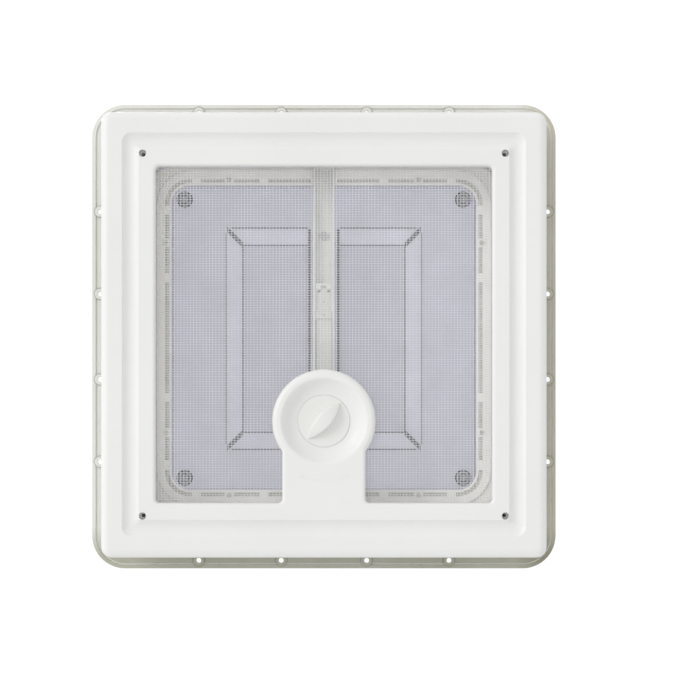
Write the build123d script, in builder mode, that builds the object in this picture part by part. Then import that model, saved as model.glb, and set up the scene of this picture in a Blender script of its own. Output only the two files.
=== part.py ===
from build123d import *
import math
import os

os.makedirs("parts", exist_ok=True)

# Caravan roof vent cover for a 360 x 360 mm roof cut-out.
# Origin: centre of the cut-out on the roof's outer skin. +Z up and out of the roof.
# The operator knob and the lid hinge are on the +Y side.

# ---------------------------------------------------------------- driving dimensions
FLANGE = 225.0          # half width of the roof flange
FLANGE_R = 32.0
PLATE_LO, PLATE_HI = 1.0, 3.0
LIP_W = 3.4
BOSS_R, BOSS_HOLE = 5.5, 2.4
HOLE_LINE = 217.3       # roof screw line from the centre
HOLE_A, HOLE_B = 41.5, 121.5

COLLAR_IN, COLLAR_OUT = 171.0, 174.0
COLLAR_R = 24.0
COLLAR_LO, COLLAR_HI = -24.0, 20.0
CORNER = 171.6          # inner trim screw position

HINGE_Y, HINGE_Z = 185.0, 15.0
HINGE_X = 95.0
BARREL_R, HINGE_PIN_R = 4.2, 2.0

G_OUT, G_OPEN = 211.6, 159.3
G_FRONT, G_BACK = -40.0, -28.0
DISH_Y = 81.8
DISH_R = 49.0
KNOB_R = 24.8
TONGUE = 39.5

ARM = 117.2             # arm length, equal to the hinge to arm pivot distance
PIVOT_Y = HINGE_Y - ARM             # 67.8
SHOE_Y = PIVOT_Y - ARM              # -49.4
AX_Z = HINGE_Z
CENTRES = DISH_Y - PIVOT_Y          # 14, worm to wheel
MODULE = 1.0
TEETH = 18
PITCH = math.pi * MODULE

RING_OUT, RING_IN = 164.7, 149.8
RING_LO, RING_HI = 19.0, 23.0
BRIM_LO, BRIM_HI = 23.0, 26.0
ROOF_LO, ROOF_HI = 42.0, 44.6
LID = 192.4
SKIRT_T, SKIRT_LO = 2.5, 6.0
RAIL_X, RAIL_LO, RAIL_HI = 10.8, 11.0, 19.0
RAIL_Y0, RAIL_Y1 = -168.5, 52.0


def out(part, name):
    part.label = name
    export_step(part, "parts/" + name + ".step")


# ---------------------------------------------------------------- roof flange with collar
with BuildPart() as roof_flange:
    with BuildSketch(Plane.XY.offset(PLATE_LO)) as fl_plate:
        RectangleRounded(2 * FLANGE, 2 * FLANGE, FLANGE_R)
        RectangleRounded(2 * COLLAR_IN, 2 * COLLAR_IN, COLLAR_R, mode=Mode.SUBTRACT)
    extrude(amount=PLATE_HI - PLATE_LO)
    # turned-down lip round the edge
    with BuildSketch(Plane.XY) as fl_lip:
        RectangleRounded(2 * FLANGE, 2 * FLANGE, FLANGE_R)
        RectangleRounded(2 * (FLANGE - LIP_W), 2 * (FLANGE - LIP_W), FLANGE_R - LIP_W, mode=Mode.SUBTRACT)
    extrude(amount=PLATE_LO + 0.5)
    lip_edges = roof_flange.edges().filter_by(lambda e: e.bounding_box().max.Z < 0.01 and e.bounding_box().min.Z > -0.01)
    # collar that stands in the cut-out
    with BuildSketch(Plane.XY.offset(COLLAR_LO)) as fl_collar:
        RectangleRounded(2 * COLLAR_OUT, 2 * COLLAR_OUT, COLLAR_R + COLLAR_OUT - COLLAR_IN)
        RectangleRounded(2 * COLLAR_IN, 2 * COLLAR_IN, COLLAR_R, mode=Mode.SUBTRACT)
    extrude(amount=COLLAR_HI - COLLAR_LO)
    # outside edge of the flange, rounded over
    top_out = roof_flange.edges().filter_by(
        lambda e: abs(e.center().Z - PLATE_HI) < 0.01 and max(abs(e.center().X), abs(e.center().Y)) > 205
    )
    fillet(top_out, 1.2)
    # groove inside the lip
    with BuildSketch(Plane.XY.offset(PLATE_LO)) as fl_groove:
        RectangleRounded(2 * (FLANGE - LIP_W), 2 * (FLANGE - LIP_W), FLANGE_R - LIP_W)
        RectangleRounded(2 * (FLANGE - LIP_W - 1.6), 2 * (FLANGE - LIP_W - 1.6), FLANGE_R - LIP_W - 1.6, mode=Mode.SUBTRACT)
    extrude(amount=0.7, mode=Mode.SUBTRACT)
    # roof screw bosses
    with BuildSketch(Plane.XY) as fl_boss:
        for v in (-HOLE_B, -HOLE_A, HOLE_A, HOLE_B):
            with Locations((v, HOLE_LINE), (v, -HOLE_LINE), (HOLE_LINE, v), (-HOLE_LINE, v)):
                Circle(BOSS_R)
    extrude(amount=PLATE_HI)
    # bosses standing up round each screw on the upper face
    with BuildSketch(Plane.XY.offset(PLATE_HI)) as fl_pad:
        for v in (-HOLE_B, -HOLE_A, HOLE_A, HOLE_B):
            with Locations((v, HOLE_LINE), (v, -HOLE_LINE), (HOLE_LINE, v), (-HOLE_LINE, v)):
                Circle(BOSS_R)
    extrude(amount=0.6)
    # strengthening ribs from the collar out over the plate (clear of the lid)
    with BuildSketch(Plane.XY.offset(-8)) as fl_rib:
        for s in (-1, 1):
            for v in (-130, -65, 0, 65, 130):
                with Locations((v, s * 175.2), (s * 175.2, v)):
                    Rectangle(2.4, 2.4)
    extrude(amount=9.5)
    # corner posts for the inner trim screws, tied to the collar
    for sx in (-1, 1):
        for sy in (-1, 1):
            with BuildSketch(Plane.XY.offset(-22.5)) as fl_post:
                with Locations((sx * CORNER, sy * CORNER)):
                    Circle(5.0)
                with Locations(Location((sx * 168.2, sy * 168.2, 0), (0, 0, 45 * sx * sy))):
                    Rectangle(9.0, 4.0)
            extrude(amount=24.0)
    # fixed hinge knuckles on the collar's +Y wall
    for sx in (-1, 1):
        for side in (-1, 1):
            xa = sx * HINGE_X + side * 5.3
            with BuildSketch(Plane.YZ.offset(min(xa, xa + side * 6.7))) as fl_knuckle:
                with Locations((HINGE_Y, HINGE_Z)):
                    Circle(BARREL_R)
                with Locations(((COLLAR_OUT + HINGE_Y) / 2 - 0.5, HINGE_Z - 1.0)):
                    Rectangle(HINGE_Y - COLLAR_OUT + 1.0, 2 * BARREL_R - 2.0)
            extrude(amount=6.7)
    # bores: roof screws, trim screws, hinge pins, operator bracket screws
    with BuildSketch(Plane.XY.offset(-1)) as fl_holes:
        for v in (-HOLE_B, -HOLE_A, HOLE_A, HOLE_B):
            with Locations((v, HOLE_LINE), (v, -HOLE_LINE), (HOLE_LINE, v), (-HOLE_LINE, v)):
                Circle(BOSS_HOLE)
    extrude(amount=6, mode=Mode.SUBTRACT)
    with BuildSketch(Plane.XY.offset(-23)) as fl_pilot:
        with GridLocations(2 * CORNER, 2 * CORNER, 2, 2):
            Circle(1.5)
    extrude(amount=19, mode=Mode.SUBTRACT)
    with BuildSketch(Plane.YZ.offset(-120)) as fl_pin:
        with Locations((HINGE_Y, HINGE_Z)):
            Circle(HINGE_PIN_R + 0.02)
    extrude(amount=240, mode=Mode.SUBTRACT)
    with BuildSketch(Plane.XZ.offset(-176)) as fl_bs:
        with Locations((-14, -11), (14, -11)):
            Circle(1.57)
    extrude(amount=6, mode=Mode.SUBTRACT)
out(roof_flange.part, "roof_flange")

# ---------------------------------------------------------------- weather seal on the collar
with BuildPart() as weather_seal:
    with BuildSketch(Plane.XY.offset(16)) as ws_outer:
        RectangleRounded(2 * 175.2, 2 * 175.2, COLLAR_R + 4.2)
        RectangleRounded(2 * 169.8, 2 * 169.8, COLLAR_R - 1.2, mode=Mode.SUBTRACT)
    extrude(amount=6.8)
    fillet(weather_seal.edges().filter_by(lambda e: abs(e.center().Z - 22.8) < 0.01), 1.6)
    with BuildSketch(Plane.XY.offset(16)) as ws_slot:
        RectangleRounded(2 * COLLAR_OUT, 2 * COLLAR_OUT, COLLAR_R + 3)
        RectangleRounded(2 * COLLAR_IN, 2 * COLLAR_IN, COLLAR_R, mode=Mode.SUBTRACT)
    extrude(amount=COLLAR_HI - 16, mode=Mode.SUBTRACT)
    # notches where the fixed hinge knuckles meet the collar
    for sx in (-1, 1):
        for side in (-1, 1):
            xc = sx * HINGE_X + side * 8.65
            with BuildSketch(Plane.XY.offset(15)) as ws_notch:
                with Locations((xc, 176)):
                    Rectangle(7.1, 4.0)
            extrude(amount=5.0, mode=Mode.SUBTRACT)
out(weather_seal.part, "weather_seal")


# ---------------------------------------------------------------- inner garnish
def cove_sections(pairs):
    """rounded square sections (half, z, corner) for a smooth loft"""
    return [Plane.XY.offset(z) * RectangleRounded(2 * h, 2 * h, r) for h, z, r in pairs]


cove_r = 10.6
cove_z = G_FRONT - 7.0       # arc centre in front of the face: 3.6 deep, 16.5 wide
cove_mid = 183.25
outer_secs, inner_secs = [], []
for k in range(7):
    t = k / 6.0
    zz = G_FRONT + 3.6 * (1 - (1 - t) ** 2)
    dx = math.sqrt(max(cove_r ** 2 - (zz - cove_z) ** 2, 0.0))
    corner_o = 9.0 - 4.0 * t
    outer_secs.append((cove_mid + dx, zz, corner_o))
    inner_secs.append((cove_mid - dx, zz, 2.0 + 3.0 * t))
# the two lofts start a little in front of the face
outer_solid = loft(cove_sections(outer_secs), ruled=False)
inner_solid = loft(cove_sections(inner_secs), ruled=False)

with BuildPart() as inner_garnish:
    with BuildSketch(Plane.XY.offset(G_FRONT)) as ga_body:
        RectangleRounded(2 * G_OUT, 2 * G_OUT, 10.0)
    extrude(amount=G_BACK - G_FRONT)
    fillet(
        inner_garnish.edges().filter_by(lambda e: abs(e.center().Z - G_FRONT) < 0.01), 8.0
    )
    # shallow cove all round
    add(outer_solid - inner_solid, mode=Mode.SUBTRACT)
    # hollow back
    with BuildSketch(Plane.XY.offset(-33.8)) as ga_back:
        RectangleRounded(2 * 207.0, 2 * 207.0, 6.0)
    extrude(amount=6.0, mode=Mode.SUBTRACT)
    # opening and the recess for the flyscreen
    with BuildSketch(Plane.XY.offset(G_FRONT - 1)) as ga_open:
        RectangleRounded(2 * G_OPEN, 2 * G_OPEN, 4.0)
    extrude(amount=20, mode=Mode.SUBTRACT)
    with BuildSketch(Plane.XY.offset(-34.5)) as ga_recess:
        RectangleRounded(2 * 164.0, 2 * 164.0, 6.0)
    extrude(amount=3, mode=Mode.SUBTRACT)
    # tongue with small fillets where it meets the frame
    with BuildSketch(Plane.XY.offset(G_FRONT)) as ga_tongue:
        with BuildLine():
            f = 3.8
            y0, y1 = DISH_Y, G_OPEN + 1.5
            Polyline((-TONGUE, G_OPEN - f), (-TONGUE, y0), (TONGUE, y0), (TONGUE, G_OPEN - f))
            RadiusArc((TONGUE, G_OPEN - f), (TONGUE + f, G_OPEN), f)
            Polyline((TONGUE + f, G_OPEN), (TONGUE + f, y1), (-TONGUE - f, y1), (-TONGUE - f, G_OPEN))
            RadiusArc((-TONGUE - f, G_OPEN), (-TONGUE, G_OPEN - f), f)
        make_face()
    extrude(amount=5.5)
    fillet(
        inner_garnish.edges().filter_by(
            lambda e: abs(e.center().Z - G_FRONT) < 0.01
            and abs(abs(e.center().X) - TONGUE) < 0.01
            and abs(e.bounding_box().size.X) < 0.01
        ),
        3.4,
    )
    # dish: make room, then revolve the bead, bowl and knob recess
    with BuildSketch(Plane.XY.offset(G_FRONT - 1)) as ga_clear:
        with Locations((0, DISH_Y)):
            Circle(44.0)
    extrude(amount=20, mode=Mode.SUBTRACT)
    with BuildSketch(Plane.YZ) as ga_dish:
        with BuildLine():
            c = DISH_Y
            l1 = Line((c + 5.6, -25.4), (c + 5.6, -29.2))
            l2 = Line(l1 @ 1, (c + 25.0, -29.2))
            l3 = Line(l2 @ 1, (c + 25.0, -30.6))
            l4 = ThreePointArc(l3 @ 1, (c + 32.6, -32.9), (c + 39.6, -39.0))
            l5 = ThreePointArc(l4 @ 1, (c + 41.0, -39.85), (c + 43.0, -40.0))
            l6 = ThreePointArc(l5 @ 1, (c + 47.1, -39.0), (c + 49.0, -36.4))
            l7 = Line(l6 @ 1, (c + 49.0, -34.5))
            l8 = Line(l7 @ 1, (c + 46.3, -34.5))
            l9 = ThreePointArc(l8 @ 1, (c + 37.0, -29.8), (c + 28.0, -25.4))
            l10 = Line(l9 @ 1, l1 @ 0)
        make_face()
    revolve(axis=Axis((0, DISH_Y, 0), (0, 0, 1)))
    # screw bosses with deep counterbores
    with BuildSketch(Plane.XY.offset(-36.0)) as ga_boss:
        with GridLocations(2 * CORNER, 2 * CORNER, 2, 2):
            Circle(5.6)
    extrude(amount=12.8)
    with BuildSketch(Plane.XY.offset(G_FRONT - 1)) as ga_cb:
        with GridLocations(2 * CORNER, 2 * CORNER, 2, 2):
            Circle(3.5)
    extrude(amount=10.0, mode=Mode.SUBTRACT)
    with BuildSketch(Plane.XY.offset(G_FRONT - 1)) as ga_hole:
        with GridLocations(2 * CORNER, 2 * CORNER, 2, 2):
            Circle(1.8)
    extrude(amount=20.0, mode=Mode.SUBTRACT)
out(inner_garnish.part, "inner_garnish")

# ---------------------------------------------------------------- flyscreen and its retainer
with BuildPart() as flyscreen_mesh:
    with BuildSketch(Plane.XY.offset(-34.5)) as fs:
        RectangleRounded(2 * 163.4, 2 * 163.4, 5.5)
        with Locations((0, DISH_Y)):
            Circle(46.6, mode=Mode.SUBTRACT)
        with Locations((0, (DISH_Y + 156.0) / 2)):
            Rectangle(2 * 36.5, 156.0 - DISH_Y, mode=Mode.SUBTRACT)
    extrude(amount=0.5)
out(flyscreen_mesh.part, "flyscreen_mesh")

with BuildPart() as screen_retainer:
    with BuildSketch(Plane.XY.offset(-34.0)) as sr:
        RectangleRounded(2 * 163.6, 2 * 163.6, 5.6)
        RectangleRounded(2 * 160.2, 2 * 160.2, 4.0, mode=Mode.SUBTRACT)
    extrude(amount=2.6)
    fillet(screen_retainer.edges().filter_by(lambda e: abs(e.center().Z + 31.4) < 0.01), 0.8)
out(screen_retainer.part, "screen_retainer")

# ---------------------------------------------------------------- operator bracket
with BuildPart() as operator_bracket:
    with BuildSketch(Plane.XY.offset(-6.0)) as ob:
        with Locations((0, (52.0 + 171.0) / 2)):
            Rectangle(44.0, 171.0 - 52.0)
    extrude(amount=3.0)
    fillet(
        operator_bracket.edges().filter_by(Axis.Z).filter_by(lambda e: e.center().Y < 60), 6.0
    )
    with BuildSketch(Plane.XZ.offset(-171.0)) as ob_tab:
        with Locations((0, -10.5)):
            Rectangle(44.0, 11.0)
    extrude(amount=2.5)
    # stiffening flanges under both long edges
    with BuildSketch(Plane.XY.offset(-9.0)) as ob_rib:
        with Locations((-20.9, 118), (20.9, 118)):
            Rectangle(2.2, 100)
    extrude(amount=3.5)
    with BuildSketch(Plane.XZ.offset(-172)) as ob_h:
        with Locations((-14, -11), (14, -11)):
            Circle(1.57)
    extrude(amount=5, mode=Mode.SUBTRACT)
    with BuildSketch(Plane.XY.offset(-7)) as ob_c:
        with Locations((0, DISH_Y)):
            Circle(4.2)
        with Locations((-14.2, 58), (14.2, 58), (-14.2, 93), (14.2, 93)):
            Circle(1.52)
        with Locations((0, 120), (0, 142)):
            SlotOverall(24, 8, rotation=0)
    extrude(amount=5, mode=Mode.SUBTRACT)
out(operator_bracket.part, "operator_bracket")

with BuildPart() as bracket_screws:
    for sx in (-14, 14):
        with BuildSketch(Plane.XZ.offset(-174.6)) as bs_s:
            with Locations((sx, -11)):
                Circle(1.55)
        extrude(amount=6.3)
        with BuildSketch(Plane.XZ.offset(-168.5)) as bs_h:
            with Locations((sx, -11)):
                Circle(3.0)
        extrude(amount=1.8)
        with BuildSketch(Plane.XZ.offset(-167.6)) as bs_x:
            with Locations((sx, -11)):
                Rectangle(3.4, 0.8)
                Rectangle(0.8, 3.4)
        extrude(amount=1.2, mode=Mode.SUBTRACT)
out(bracket_screws.part, "bracket_screws")

# ---------------------------------------------------------------- gearbox
with BuildPart() as gearbox_base:
    with BuildSketch(Plane.XY.offset(-3.0)) as gb_floor:
        with Locations((0, 75.5)):
            RectangleRounded(35.0, 43.0, 3.0)
    extrude(amount=3.5)
    with BuildSketch(Plane.YZ.offset(-11.0)) as gb_cheek:
        with BuildLine():
            Polyline((56, 0), (92, 0), (92, 24), (67.8, 24))
            ThreePointArc((67.8, 24), (61.4, 21.4), (58.8, 15.0))
            Polyline((58.8, 15.0), (56, 6), (56, 0))
        make_face()
    extrude(amount=22.0)
    with BuildSketch(Plane.XY.offset(0.5)) as gb_in:
        with Locations((0, 75.5)):
            Rectangle(16.0, 44.0)
    extrude(amount=30, mode=Mode.SUBTRACT)
    with BuildSketch(Plane.YZ.offset(-20)) as gb_ax:
        with Locations((PIVOT_Y, AX_Z)):
            Circle(2.52)
    extrude(amount=40, mode=Mode.SUBTRACT)
    with BuildSketch(Plane.XY.offset(-4)) as gb_b:
        with Locations((0, DISH_Y)):
            Circle(3.05)
        with Locations((-14.2, 58), (14.2, 58), (-14.2, 93), (14.2, 93)):
            Circle(1.52)
    extrude(amount=5, mode=Mode.SUBTRACT)
    with BuildSketch(Plane.XY.offset(19)) as gb_t:
        with Locations((-9.5, 84), (9.5, 84)):
            Circle(1.02)
    extrude(amount=6, mode=Mode.SUBTRACT)
out(gearbox_base.part, "gearbox_base")

with BuildPart() as gearbox_cover:
    with BuildSketch(Plane.XY.offset(24.0)) as gc_top:
        with Locations((0, (76.0 + 95.0) / 2)):
            Rectangle(22.0, 19.0)
    extrude(amount=3.0)
    with BuildSketch(Plane.XY.offset(0.5)) as gc_back:
        with Locations((0, 93.5)):
            Rectangle(22.0, 3.0)
    extrude(amount=24.0)
    fillet(gearbox_cover.edges().filter_by(lambda e: abs(e.center().Z - 27.0) < 0.01), 1.2)
    with BuildSketch(Plane.XY.offset(23)) as gc_h:
        with Locations((0, DISH_Y)):
            Circle(2.05)
        with Locations((-9.5, 84), (9.5, 84)):
            Circle(1.02)
    extrude(amount=6, mode=Mode.SUBTRACT)
    # keep clear of the base's foot screws
    with BuildSketch(Plane.XY.offset(0.5)) as gc_n:
        with Locations((-14.2, 93), (14.2, 93)):
            Circle(3.4)
    extrude(amount=2.4, mode=Mode.SUBTRACT)
out(gearbox_cover.part, "gearbox_cover")

with BuildPart() as gearbox_screws:
    for x in (-14.2, 14.2):
        for y in (58.0, 93.0):
            with BuildSketch(Plane.XY.offset(-6.6)) as gs_s:
                with Locations((x, y)):
                    Circle(1.5)
            extrude(amount=7.3)
            with BuildSketch(Plane.XY.offset(0.5)) as gs_h:
                with Locations((x, y)):
                    Circle(2.6)
            extrude(amount=1.8)
            with BuildSketch(Plane.XY.offset(1.5)) as gs_x:
                with Locations((x, y)):
                    Rectangle(3.2, 0.7)
                    Rectangle(0.7, 3.2)
            extrude(amount=1.2, mode=Mode.SUBTRACT)
out(gearbox_screws.part, "gearbox_screws")

with BuildPart() as cover_screws:
    for x in (-9.5, 9.5):
        with BuildSketch(Plane.XY.offset(19.5)) as cs_s:
            with Locations((x, 84)):
                Circle(1.0)
        extrude(amount=7.8)
        with BuildSketch(Plane.XY.offset(27.0)) as cs_h:
            with Locations((x, 84)):
                Circle(1.5)
        extrude(amount=1.3)
        with BuildSketch(Plane.XY.offset(27.8)) as cs_x:
            with Locations((x, 84)):
                Rectangle(2.0, 0.5)
                Rectangle(0.5, 2.0)
        extrude(amount=1.0, mode=Mode.SUBTRACT)
out(cover_screws.part, "cover_screws")

with BuildPart() as wheel_axle:
    with BuildSketch(Plane.YZ.offset(-12.6)) as wa:
        with Locations((PIVOT_Y, AX_Z)):
            Circle(2.5)
    extrude(amount=25.2)
    with BuildSketch(Plane.YZ.offset(11.0)) as wa_h:
        with Locations((PIVOT_Y, AX_Z)):
            Circle(3.8)
    extrude(amount=1.8)
out(wheel_axle.part, "wheel_axle")

# ---------------------------------------------------------------- hinge pins
with BuildPart() as hinge_pins:
    for sx in (-1, 1):
        x0 = sx * HINGE_X
        with BuildSketch(Plane.YZ.offset(x0 - 12.6)) as hp:
            with Locations((HINGE_Y, HINGE_Z)):
                Circle(HINGE_PIN_R)
        extrude(amount=25.2)
        with BuildSketch(Plane.YZ.offset(x0 + 12.05)) as hp_h:
            with Locations((HINGE_Y, HINGE_Z)):
                Circle(3.0)
        extrude(amount=1.4)
out(hinge_pins.part, "hinge_pins")

# ---------------------------------------------------------------- knob, worm shaft, clip
KNOB_ANGLE = -48.0
KNOB_DIR = (math.cos(math.radians(KNOB_ANGLE)), math.sin(math.radians(KNOB_ANGLE)), 0)
# grip blade: a lens-shaped ridge across the full diameter that falls away at both ends
with BuildPart() as knob_blade:
    with BuildSketch(Plane(origin=(0, DISH_Y, -30.0), x_dir=KNOB_DIR, z_dir=(0, 0, -1))) as kn_blade:
        with BuildLine():
            ThreePointArc((-24.0, 0), (0, 8.6), (24.0, 0))
            ThreePointArc((24.0, 0), (0, -8.6), (-24.0, 0))
        make_face()
    extrude(amount=12.0, taper=16)
    with BuildSketch(Plane.YZ) as kn_env:
        with BuildLine():
            c = DISH_Y
            e1 = Line((c, -29.7), (c + 24.5, -29.7))
            e2 = Line(e1 @ 1, (c + 24.5, -31.0))
            e3 = ThreePointArc(e2 @ 1, (c + 15.0, -37.0), (c, -39.6))
            Line(e3 @ 1, e1 @ 0)
        make_face()
    revolve(axis=Axis((0, DISH_Y, 0), (0, 0, 1)), mode=Mode.INTERSECT)
    ridge = knob_blade.edges().filter_by(lambda e: e.center().Z < -33 and e.length > 20)
    fillet(ridge, 0.7)

with BuildPart() as knob:
    with BuildSketch(Plane.XY.offset(-31.2)) as kn:
        with Locations((0, DISH_Y)):
            Circle(KNOB_R)
    extrude(amount=1.7)
    fillet(knob.edges().filter_by(lambda e: abs(e.center().Z + 31.2) < 0.01), 0.45)
    with BuildSketch(Plane.XY.offset(-29.8)) as kn_hub:
        with Locations((0, DISH_Y)):
            Circle(5.2)
    extrude(amount=11.8)
    add(knob_blade.part)
    with BuildSketch(Plane.XY.offset(-33.0)) as kn_bore:
        with Locations((0, DISH_Y)):
            Circle(3.0)
    extrude(amount=20, mode=Mode.SUBTRACT)
out(knob.part, "knob")

WORM_LO, WORM_HI = 7.0, 23.0
with BuildPart() as worm_core:
    for lo, hi, r in ((-33.0, 0.6, 3.0), (0.6, WORM_LO, 4.6), (WORM_LO, WORM_HI, 3.75), (WORM_HI, 28.2, 2.0)):
        with BuildSketch(Plane.XY.offset(lo)) as wc:
            with Locations((0, DISH_Y)):
                Circle(r if r != 3.0 else 2.98)
        extrude(amount=hi - lo)
    # clip groove under the bracket
    with BuildSketch(Plane.XY.offset(-7.5)) as wc_g:
        with Locations((0, DISH_Y)):
            Circle(4.0)
            Circle(2.4, mode=Mode.SUBTRACT)
    extrude(amount=1.3, mode=Mode.SUBTRACT)
# right-hand thread, crests half a pitch away from the wheel's centre line on the -Y side
turns = 4.0
z_start = AX_Z + PITCH / 2 - PITCH * 2.0 - PITCH * 0.0
helix = Helix(pitch=PITCH, height=PITCH * turns, radius=4.7, center=(0, 0, 0), direction=(0, 0, 1))
start = helix @ 0
tooth_plane = Plane(origin=start, x_dir=(1, 0, 0), z_dir=(0, 1, 0))
tooth = tooth_plane * Polygon((-1.15, 0.66), (1.25, 0.33), (1.25, -0.33), (-1.15, -0.66), align=None)
thread = sweep(tooth, path=helix, is_frenet=True)
# the helix starts on +X at z = 0; turn it to start on -Y and lift it into place
thread = Pos(0, DISH_Y, z_start) * Rot(0, 0, -90) * thread
worm_shape = worm_core.part + thread
out(worm_shape, "worm_shaft")

with BuildPart() as shaft_clip:
    with BuildSketch(Plane.XY.offset(-7.4)) as sc:
        with Locations((0, DISH_Y)):
            Circle(5.4)
            Circle(2.42, mode=Mode.SUBTRACT)
        with Locations((4.5, DISH_Y)):
            Rectangle(9.0, 2.6, mode=Mode.SUBTRACT)
    extrude(amount=1.1)
out(shaft_clip.part, "shaft_clip")

# ---------------------------------------------------------------- worm wheel and lift arm
R_OUT, R_ROOT, R_P = 9.85, 7.8, 9.0
with BuildPart() as worm_wheel:
    with BuildSketch(Plane.YZ.offset(-2.4)) as ww:
        with Locations((PIVOT_Y, AX_Z)):
            Circle(R_ROOT)
        for k in range(TEETH):
            a0 = 360.0 / TEETH * k
            pts = []
            for rr, half in ((R_ROOT - 0.3, 0.92), (R_P, 0.58), (R_OUT, 0.30)):
                pts.append((rr, half))
            ring = [(r_, h_) for r_, h_ in pts] + [(r_, -h_) for r_, h_ in reversed(pts)]
            ca, sa = math.cos(math.radians(a0)), math.sin(math.radians(a0))
            world = [(PIVOT_Y + r_ * ca - h_ * sa, AX_Z + r_ * sa + h_ * ca) for r_, h_ in ring]
            with BuildLine():
                Polyline(*world, close=True)
            make_face()
    extrude(amount=4.8)
    with BuildSketch(Plane.YZ.offset(-4.4)) as ww_hub:
        with Locations((PIVOT_Y, AX_Z)):
            Circle(7.2)
    extrude(amount=8.8)
    with BuildSketch(Plane.YZ.offset(-5)) as ww_b:
        with Locations((PIVOT_Y, AX_Z)):
            Circle(2.55)
        with Locations((PIVOT_Y - 5, AX_Z), (PIVOT_Y + 5, AX_Z)):
            Circle(0.92)
    extrude(amount=10, mode=Mode.SUBTRACT)
out(worm_wheel.part, "worm_wheel")

with BuildPart() as lift_arm:
    # fork cheeks either side of the wheel
    for x0 in (-6.3, 4.5):
        with BuildSketch(Plane.YZ.offset(x0)) as la_c:
            with Locations((PIVOT_Y, AX_Z)):
                Circle(7.2)
            with Locations((PIVOT_Y - 7.3, AX_Z)):
                Rectangle(14.6, 8.0)
        extrude(amount=1.8)
    # bridge and bar
    with BuildSketch(Plane.XY.offset(AX_Z - 2.2)) as la_b:
        with Locations((0, (48.0 + 56.4) / 2)):
            Rectangle(12.6, 8.4)
        with Locations((0, (48.2 - 16.4) / 2)):
            Rectangle(15.6, 48.2 + 16.4)
        with Locations((0, (-16.0 - 44.5) / 2)):
            Rectangle(13.2, 44.5 - 16.0)
        with Locations((0, SHOE_Y + 4)):
            Rectangle(6.2, 8.0)
    extrude(amount=4.4)
    with BuildSketch(Plane.YZ.offset(-3.1)) as la_t:
        with Locations((SHOE_Y, AX_Z)):
            Circle(2.2)
    extrude(amount=6.2)
    # pad across the rail's slot
    with BuildSketch(Plane.XY.offset(AX_Z - 3.8)) as la_pad:
        with Locations((0, -21.7)):
            RectangleRounded(15.6, 7.0, 0.8)
    extrude(amount=1.2)
    with BuildSketch(Plane.XY.offset(AX_Z - 3.0)) as la_pad2:
        with Locations((0, -21.7)):
            Rectangle(12.6, 6.4)
    extrude(amount=2.0)
    # weight-saving flute along the bar's upper face
    with BuildSketch(Plane.XY.offset(AX_Z + 1.2)) as la_f:
        with Locations((0, 12)):
            SlotOverall(52, 6.4, rotation=90)
    extrude(amount=1.2, mode=Mode.SUBTRACT)
    with BuildSketch(Plane.YZ.offset(-8)) as la_bores:
        with Locations((PIVOT_Y, AX_Z)):
            Circle(2.55)
        with Locations((PIVOT_Y - 5, AX_Z), (PIVOT_Y + 5, AX_Z)):
            Circle(0.92)
        with Locations((SHOE_Y, AX_Z)):
            Circle(1.32)
    extrude(amount=16, mode=Mode.SUBTRACT)
out(lift_arm.part, "lift_arm")

with BuildPart() as arm_rivets:
    for dy in (-5, 5):
        with BuildSketch(Plane.YZ.offset(-6.8)) as ar:
            with Locations((PIVOT_Y + dy, AX_Z)):
                Circle(0.9)
        extrude(amount=13.6)
        for x0 in (-6.9, 6.3):
            with BuildSketch(Plane.YZ.offset(x0)) as ar_h:
                with Locations((PIVOT_Y + dy, AX_Z)):
                    Circle(1.7)
            extrude(amount=0.6)
out(arm_rivets.part, "arm_rivets")

# ---------------------------------------------------------------- slider shoe and pin
with BuildPart() as slider_shoe:
    with BuildSketch(Plane.XY.offset(12.6)) as ss:
        with Locations((0, (-53.0 - 17.0) / 2)):
            Rectangle(18.2, 36.0)
        with Locations((0, (-46.2 - 16.0) / 2)):
            Rectangle(13.6, 30.4, mode=Mode.SUBTRACT)
        with Locations((0, -48.8)):
            Rectangle(6.7, 6.6, mode=Mode.SUBTRACT)
    extrude(amount=4.6)
    # wear band that shows in the rail's slot
    with BuildSketch(Plane.XY.offset(11.4)) as ss_band:
        with Locations((-5.55, -49.85), (5.55, -49.85)):
            Rectangle(4.5, 6.1)
        with Locations((0, -51.85)):
            Rectangle(15.6, 2.1)
    extrude(amount=1.3)
    with BuildSketch(Plane.YZ.offset(-10)) as ss_b:
        with Locations((SHOE_Y, AX_Z)):
            Circle(1.27)
    extrude(amount=20, mode=Mode.SUBTRACT)
out(slider_shoe.part, "slider_shoe")

with BuildPart() as shoe_pin:
    with BuildSketch(Plane.YZ.offset(-8.8)) as sp:
        with Locations((SHOE_Y, AX_Z)):
            Circle(1.25)
    extrude(amount=17.6)
    chamfer(shoe_pin.edges().filter_by(GeomType.CIRCLE), 0.25)
out(shoe_pin.part, "shoe_pin")

# ---------------------------------------------------------------- lid dome
PAN_X, PAN_Y = 97.7, 110.4      # foot of the raised panels
PLA_X, PLA_Y = 81.0, 93.5       # plateau
CHAN = 13.2
PAN_H = 4.2
POSTS = (-157.0, -99.6, 30.0)


def frustum(z0, z1, dx):
    lower = Plane.XY.offset(z0) * RectangleRounded(2 * (PAN_X + dx), 2 * (PAN_Y + dx), 7.0)
    upper = Plane.XY.offset(z1) * RectangleRounded(2 * (PLA_X + dx), 2 * (PLA_Y + dx), 2.5)
    return loft([lower, upper], ruled=True)


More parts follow.
